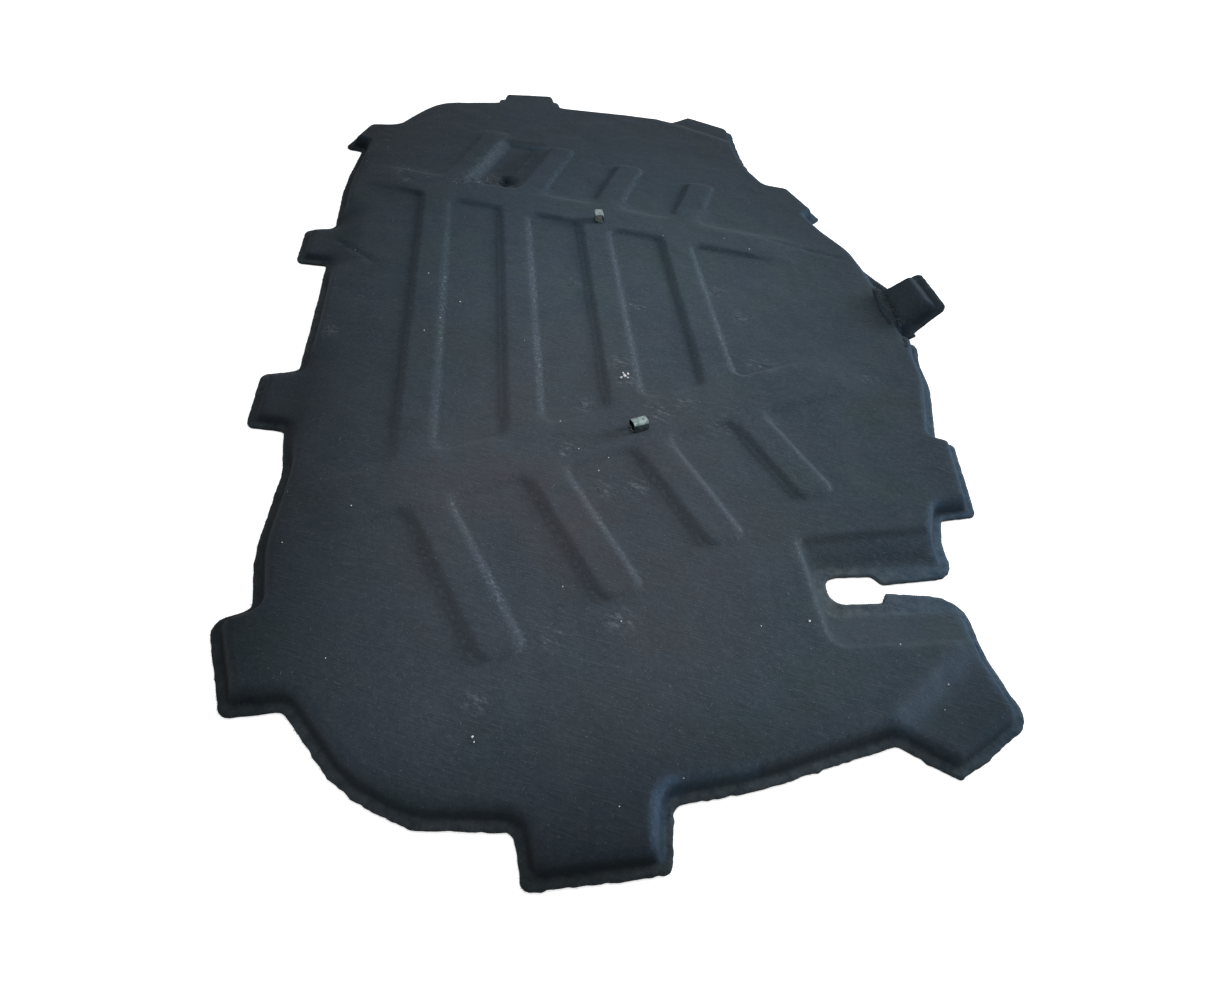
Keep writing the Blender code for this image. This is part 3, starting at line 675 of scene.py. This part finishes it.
def loose_fibres(material):
    """Fibres pulled out of the felt: round the torn hole, between the cracks and on the scuffed places."""
    roots, ways, bends = [], [], []

    def pull(x, y, spread, count, low, high, rise):
        for _ in range(count):
            place = np.array([x, y]) * MM + rng.normal(0.0, spread, 2) * MM
            turn = rng.uniform(0, math.tau)
            length = rng.uniform(low, high) * MM
            way = np.array([math.cos(turn), math.sin(turn), rng.uniform(0.05, rise)]) * length
            z = float(surface(place[None, :])[0])
            roots.append([place[0], place[1], z - 0.2 * MM])
            ways.append(way)
            bends.append(rng.normal(0.0, 0.3, 3) * length)
            bends[-1][2] = -0.5 * way[2] + 0.1 * length * rng.random()

    for x, y, reach in SCUFFS:
        pull(x, y, reach * 0.5, 22, 2.0, 6.0, 0.35)
    for x, y in TORN_EDGE:
        pull(x, y, 5, 26, 3.0, 9.0, 0.7)
    for x in range(*FOLD_SPAN, 6):
        pull(x, FOLD_Y, 3.5, 7, 2.0, 6.0, 0.6)
    for j in range(RIDGES):
        y = RIDGE_FIRST + RIDGE_PITCH * j - RIDGE_FOOT
        half = RIDGE_HALF + BAR_SLANT * y
        for _ in range(60):
            pull(rng.uniform(-half, half), y, 1.2, 1, 1.5, 4.5, 0.4)
    for _ in range(LOOSE_TRIES):
        x, y = rng.uniform(-0.60, 0.62) / MM, rng.uniform(-0.28, 0.37) / MM
        spot = np.array([[x, y]]) * MM
        if surface(spot)[0] > 14 * MM and sampled(INSIDE, spot, LOW)[0] > 0.99:
            pull(x, y, 0.1, 1, 1.0, 4.5, 0.3)
    strands("loose_fibres", np.array(roots), np.array(ways), np.array(bends), 0.13 * MM, material)


def lint(material):
    """Small white flecks that stick to the felt."""
    bm = bmesh.new()
    for x, y, size in LINT:
        place = np.array([[x, y]]) * MM
        made = bmesh.ops.create_icosphere(bm, subdivisions=1, radius=size * 0.62 * MM)
        for vert in made["verts"]:
            push = 1.0 + 0.35 * rng.uniform(-1, 1)
            vert.co = Vector((vert.co.x * push * 1.15, vert.co.y * push, vert.co.z * 0.45 * push))
            vert.co += Vector((place[0, 0], place[0, 1], float(surface(place)[0]) + 0.15 * size * MM))
    mesh = bpy.data.meshes.new("lint")
    bm.to_mesh(mesh)
    bm.free()
    placed("lint", mesh, material)


def node(tree, kind, **values):
    """A new node with its settings."""
    made = tree.nodes.new(kind)
    for key, value in values.items():
        setattr(made, key, value)
    return made


def socket_of(sockets, identifier):
    """The socket with this identifier, because a mix node has several of one name."""
    return next(s for s in sockets if s.identifier == identifier)


def fresh(name):
    """A new material with its node tree and its shader."""
    mat = bpy.data.materials.new(name)
    mat.use_nodes = True
    return mat, mat.node_tree, mat.node_tree.nodes["Principled BSDF"]


def speckled(tree, scale, low, high, start, stop):
    """A colour that noise moves between low and high, over the stretch of the noise from start to stop."""
    tex = node(tree, "ShaderNodeTexNoise")
    tex.inputs["Scale"].default_value = scale
    place = node(tree, "ShaderNodeTexCoord")
    tree.links.new(place.outputs["Object"], tex.inputs["Vector"])
    ramp = node(tree, "ShaderNodeValToRGB")
    first, last = ramp.color_ramp.elements
    first.position, last.position = start, stop
    first.color, last.color = (*low, 1), (*high, 1)
    tree.links.new(tex.outputs["Fac"], ramp.inputs["Fac"])
    return ramp.outputs["Color"]


def felt_material():
    """Pressed felt: plain tone with patches, fibres, dust and wear, with painted highlights on lit walls and
    slants, painted shade in hollows, and the painted light and shade of the tone attribute.
    """
    mat, tree, shader = fresh("felt")
    link = tree.links.new
    shader.inputs["Roughness"].default_value = 0.95
    shader.inputs["Specular IOR Level"].default_value = 0.04
    shader.inputs["Sheen Weight"].default_value = 0.05
    shader.inputs["Sheen Roughness"].default_value = 0.5
    place = node(tree, "ShaderNodeTexCoord").outputs["Object"]

    def noise_of(scale, detail, stretch=None, turn=0.0, rough=0.55):
        source = place
        if stretch:
            mapping = node(tree, "ShaderNodeMapping", vector_type="TEXTURE")
            mapping.inputs["Scale"].default_value = stretch
            mapping.inputs["Rotation"].default_value = (0, 0, turn)
            link(source, mapping.inputs["Vector"])
            source = mapping.outputs["Vector"]
        tex = node(tree, "ShaderNodeTexNoise")
        tex.inputs["Scale"].default_value = scale
        tex.inputs["Detail"].default_value = detail
        tex.inputs["Roughness"].default_value = rough
        link(source, tex.inputs["Vector"])
        return tex.outputs["Fac"]

    def ramp(value, low, high):
        made = node(tree, "ShaderNodeMapRange")
        made.inputs["From Min"].default_value = low
        made.inputs["From Max"].default_value = high
        link(value, made.inputs["Value"])
        return made.outputs["Result"]

    def mix(fac, a, b, blend="MIX"):
        made = node(tree, "ShaderNodeMix", data_type="RGBA", blend_type=blend)
        if isinstance(fac, float):
            made.inputs["Factor"].default_value = fac
        else:
            link(fac, made.inputs["Factor"])
        for socket, value in (("A", a), ("B", b)):
            target = socket_of(made.inputs, socket + "_Color")
            if isinstance(value, tuple):
                target.default_value = (*value, 1.0)
            else:
                link(value, target)
        return socket_of(made.outputs, "Result_Color")

    def value(name):
        return node(tree, "ShaderNodeAttribute", attribute_name=name).outputs["Fac"]

    def maths(kind, a, b):
        made = node(tree, "ShaderNodeMath", operation=kind)
        for socket, item in zip(made.inputs, (a, b)):
            if isinstance(item, float):
                socket.default_value = item
            else:
                link(item, socket)
        return made.outputs[0]

    def over(base, mask, strength, colour):
        return mix(maths("MULTIPLY", mask, strength), base, colour)

    base = mix(ramp(noise_of(7.0, 3.0), 0.36, 0.66), (0.032, 0.050, 0.069), (0.039, 0.057, 0.079))
    patches = ramp(noise_of(13.0, 2.0), 0.45, 0.65)
    base = over(base, patches, 0.7, (0.033, 0.056, 0.061))
    base = mix(value("warm"), base, (0.060, 0.060, 0.070))
    clouds = ramp(noise_of(34.0, 4.0), 0.46, 0.70)
    base = over(base, clouds, 0.5, (0.049, 0.066, 0.082))
    streak_a = ramp(noise_of(620.0, 2.0, (11.0, 1.0, 1.0), math.radians(70)), 0.53, 0.74)
    streak_b = ramp(noise_of(520.0, 2.0, (8.0, 1.0, 1.0), math.radians(48)), 0.56, 0.78)
    dark = ramp(noise_of(560.0, 2.0, (9.0, 1.0, 1.0), math.radians(62)), 0.55, 0.75)
    blotch = ramp(noise_of(210.0, 3.0, None, 0.0, 0.65), 0.42, 0.74)
    base = over(base, blotch, 0.50, (0.068, 0.084, 0.100))
    base = over(base, streak_a, 0.28, (0.078, 0.096, 0.116))
    base = over(base, streak_b, 0.28, (0.074, 0.092, 0.110))
    base = over(base, dark, 0.30, (0.018, 0.026, 0.034))
    dust = ramp(noise_of(640.0, 2.0, None, 0.0, 0.6), 0.66, 0.76)
    base = over(base, dust, 0.75, (0.170, 0.190, 0.210))
    # Painted highlight, pale blue, on slants that face the key light
    base = over(base, value("slant_highlight"), 0.42, (0.120, 0.150, 0.180))
    specks = ramp(noise_of(330.0, 3.0, None, 0.0, 0.7), 0.52, 0.66)
    # Painted highlight in specks on the walls that face the key light
    lit_specks = maths("MULTIPLY", value("lit"), maths("MULTIPLY", specks, 0.60))
    base = mix(lit_specks, base, (0.165, 0.195, 0.225))
    wisps = noise_of(260.0, 4.0, (2.4, 1.0, 1.0), 1.0, 0.7)
    rubbed = maths("MULTIPLY", value("scuff"), ramp(wisps, 0.50, 0.70))
    base = over(base, rubbed, 0.7, (0.180, 0.205, 0.230))
    patchy = maths("MULTIPLY", value("rim"), ramp(noise_of(110.0, 6.0, None, 0.0, 0.72), 0.36, 0.72))
    base = over(base, patchy, 0.80, (0.110, 0.134, 0.146))
    # Painted shade darkens the concave places
    base = over(base, ramp(value("hollow_shade"), 0.10, 1.1), 0.42, (0.016, 0.022, 0.026))
    # The tone attribute multiplies in the painted light and shade of the felt and its painted blue light
    tone = node(tree, "ShaderNodeAttribute", attribute_name="tone")
    base = mix(1.0, base, tone.outputs["Color"], "MULTIPLY")
    link(base, shader.inputs["Base Color"])
    bump = node(tree, "ShaderNodeBump")
    bump.inputs["Strength"].default_value = 0.5
    bump.inputs["Distance"].default_value = 0.8 * MM
    grain = maths("ADD", noise_of(520.0, 5.0, None, 0.0, 0.7), maths("MULTIPLY", streak_a, 0.4))
    link(grain, bump.inputs["Height"])
    link(bump.outputs["Normal"], shader.inputs["Normal"])
    return mat


def steel_material():
    """Dull bright plating, with painted shade inside the loop."""
    mat, tree, shader = fresh("plated_steel")
    shader.inputs["Metallic"].default_value = 1.0
    shader.inputs["Roughness"].default_value = 0.36
    plating = speckled(tree, 260.0, (0.13, 0.18, 0.18), (0.27, 0.34, 0.34), 0.40, 0.62)
    shaded = node(tree, "ShaderNodeMix", data_type="RGBA")
    # Painted shade on the faces inside the loop
    inner = node(tree, "ShaderNodeAttribute", attribute_name="inner")
    tree.links.new(inner.outputs["Fac"], shaded.inputs["Factor"])
    tree.links.new(plating, socket_of(shaded.inputs, "A_Color"))
    socket_of(shaded.inputs, "B_Color").default_value = (0.030, 0.040, 0.042, 1)
    tree.links.new(socket_of(shaded.outputs, "Result_Color"), shader.inputs["Base Color"])
    return mat


def fibre_material(name, low, high):
    """Plain fibre with a slight change of tone from place to place."""
    mat, tree, shader = fresh(name)
    shader.inputs["Roughness"].default_value = 0.9
    shader.inputs["Specular IOR Level"].default_value = 0.1
    tree.links.new(speckled(tree, 90.0, low, high, 0.35, 0.65), shader.inputs["Base Color"])
    return mat


def turned_clip(name, turn, material):
    """The loop as it sits in the photograph, turned on the spot. The solid's loop lies along Y."""
    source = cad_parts[name]
    data = source.data.copy()
    data.transform(source.matrix_world)
    middle = sum((v.co for v in data.vertices), Vector()) / len(data.vertices)
    turned = Matrix.Rotation(math.radians(turn), 4, "Z")
    data.transform(Matrix.Translation(middle) @ turned @ Matrix.Translation(-middle))
    # Faces that look into the loop are marked for painted shade
    inner = data.attributes.new("inner", "FLOAT", "FACE")
    for face, value in zip(data.polygons, inner.data):
        value.value = 1.0 if (face.center - middle).dot(face.normal) < 0 else 0.0
    data.shade_smooth()
    data.set_sharp_from_angle(angle=math.radians(35))
    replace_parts(placed(name.replace("clip", "loop"), data, material), name)


def floor():
    """A pale floor, white to the camera, that keeps the pad's shadow."""
    bpy.ops.mesh.primitive_plane_add(size=FLOOR_SIZE, location=(0, 0, -FLOOR_DROP))
    ground = bpy.context.object
    ground.name = "floor"
    mat, tree, shader = fresh("floor")
    shader.inputs["Roughness"].default_value = 1.0
    shader.inputs["Specular IOR Level"].default_value = 0.0
    path = node(tree, "ShaderNodeLightPath")
    mixed = node(tree, "ShaderNodeMix", data_type="RGBA")
    tree.links.new(path.outputs["Is Camera Ray"], mixed.inputs["Factor"])
    socket_of(mixed.inputs, "A_Color").default_value = (0.55, 0.55, 0.55, 1)
    socket_of(mixed.inputs, "B_Color").default_value = (1.0, 1.0, 1.0, 1)
    tree.links.new(socket_of(mixed.outputs, "Result_Color"), shader.inputs["Base Color"])
    glow = node(tree, "ShaderNodeMath", operation="MULTIPLY")
    glow.inputs[1].default_value = FLOOR_GLOW
    tree.links.new(path.outputs["Is Camera Ray"], glow.inputs[0])
    shader.inputs["Emission Color"].default_value = (1.0, 1.0, 1.0, 1.0)
    tree.links.new(glow.outputs[0], shader.inputs["Emission Strength"])
    ground.data.materials.append(mat)


def light(name, where, target, size, power, colour):
    """A round soft lamp that shines on the target."""
    lamp = bpy.data.lights.new(name, "AREA")
    lamp.shape = "DISK"
    lamp.size = size
    lamp.energy = power
    lamp.color = colour
    obj = bpy.data.objects.new(name, lamp)
    obj.location = where
    obj.rotation_mode = "QUATERNION"
    obj.rotation_quaternion = (Vector(target) - Vector(where)).to_track_quat("-Z", "Y")
    bpy.context.scene.collection.objects.link(obj)


def surroundings():
    """A white room: plain on the felt, full white in the steel and behind the pad."""
    world = bpy.context.scene.world or bpy.data.worlds.new("world")
    bpy.context.scene.world = world
    world.use_nodes = True
    tree = world.node_tree
    path = node(tree, "ShaderNodeLightPath")
    seen = node(tree, "ShaderNodeMath", operation="ADD")
    tree.links.new(path.outputs["Is Camera Ray"], seen.inputs[0])
    tree.links.new(path.outputs["Is Glossy Ray"], seen.inputs[1])
    through = node(tree, "ShaderNodeMath", operation="ADD")
    tree.links.new(seen.outputs[0], through.inputs[0])
    tree.links.new(path.outputs["Is Transmission Ray"], through.inputs[1])
    full = node(tree, "ShaderNodeMapRange")
    full.inputs["To Min"].default_value = ROOM_LIGHT
    full.inputs["To Max"].default_value = 1.0
    tree.links.new(through.outputs[0], full.inputs["Value"])
    back = tree.nodes["Background"]
    back.inputs["Color"].default_value = (1.0, 1.0, 1.0, 1.0)
    tree.links.new(full.outputs["Result"], back.inputs["Strength"])


def camera():
    """The photograph's own view."""
    cam = bpy.data.cameras.new("camera")
    cam.lens = PHOTO_FOCAL * SENSOR / PHOTO_WIDTH
    cam.sensor_width = SENSOR
    cam.clip_start = 0.01
    obj = bpy.data.objects.new("camera", cam)
    right, down, ahead = [Vector(r) for r in CAMERA_AXES]
    obj.matrix_world = Matrix.Translation(CAMERA_AT) @ Matrix((right, -down, -ahead)).transposed().to_4x4()
    bpy.context.scene.collection.objects.link(obj)
    bpy.context.scene.camera = obj


felt_mesh = felt_skin()
corner_values(felt_mesh)
felt = placed("felt_pad", felt_mesh, felt_material())
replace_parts(felt, "insulation_pad")
edge_fibres(fibre_material("edge_fibre", (0.085, 0.098, 0.094), (0.19, 0.205, 0.19)))
loose_fibres(fibre_material("loose_fibre", (0.085, 0.10, 0.115), (0.19, 0.21, 0.23)))
lint(fibre_material("lint", (0.50, 0.50, 0.52), (0.80, 0.80, 0.82)))
steel = steel_material()
turned_clip("left_clip", 20, steel)
turned_clip("right_clip", 90, steel)
floor()
light("key", (0.55, -2.5, 0.80), (0, 0, 0), 1.0, 86.0, (0.92, 0.97, 1.0))
light("top", (-0.05, -0.02, 1.35), (-0.05, -0.02, 0), 0.9, 5.0, (1.0, 1.0, 1.0))
surroundings()
camera()
bpy.context.scene.view_settings.view_transform = "Standard"
